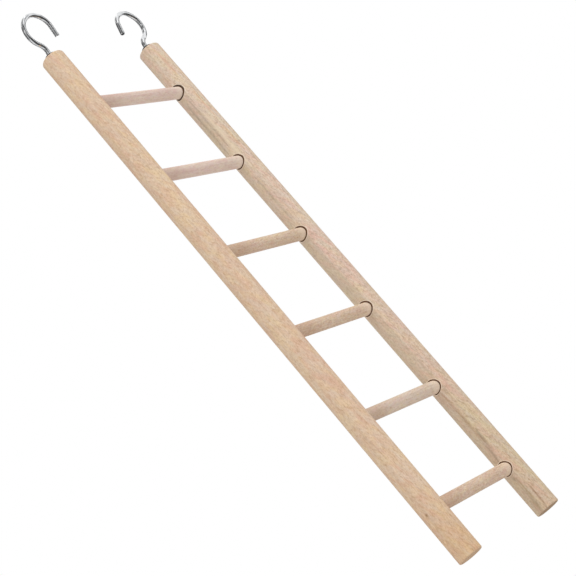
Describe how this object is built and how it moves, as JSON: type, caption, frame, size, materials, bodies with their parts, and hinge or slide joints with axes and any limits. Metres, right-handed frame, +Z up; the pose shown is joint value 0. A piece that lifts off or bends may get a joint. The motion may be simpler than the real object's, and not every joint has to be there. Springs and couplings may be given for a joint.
{
  "type": "bird ladder",
  "caption": "Hanging wooden ladder for pet birds: round side rails joined by evenly spaced round rungs, with an open wire hook screwed into the top end of each rail.",
  "frame": {"origin": "midway between the centres of the two rails' top end faces, on the line that the hooks' collars seat on", "axes": "+Z up the rails to the hooks, +X along the rungs from the left rail to the right one, +Y through the ladder"},
  "size_m": [0.1057, 0.0165, 0.4116],
  "materials": {
    "rail_wood": "sanded, unvarnished pale beech",
    "rung_wood": "sanded, unvarnished pale birch",
    "hook_wire": "bright nickel plating",
    "collar_plate": "bright nickel plating"
  },
  "bodies": {
    "root": {"left_rail": "rail_wood", "right_rail": "rail_wood", "rung_1": "rung_wood", "rung_2": "rung_wood", "rung_3": "rung_wood", "rung_4": "rung_wood", "rung_5": "rung_wood", "rung_6": "rung_wood", "left_hook": "hook_wire", "right_hook": "hook_wire", "left_collar": "collar_plate", "right_collar": "collar_plate"}
  },
  "joints": []
}
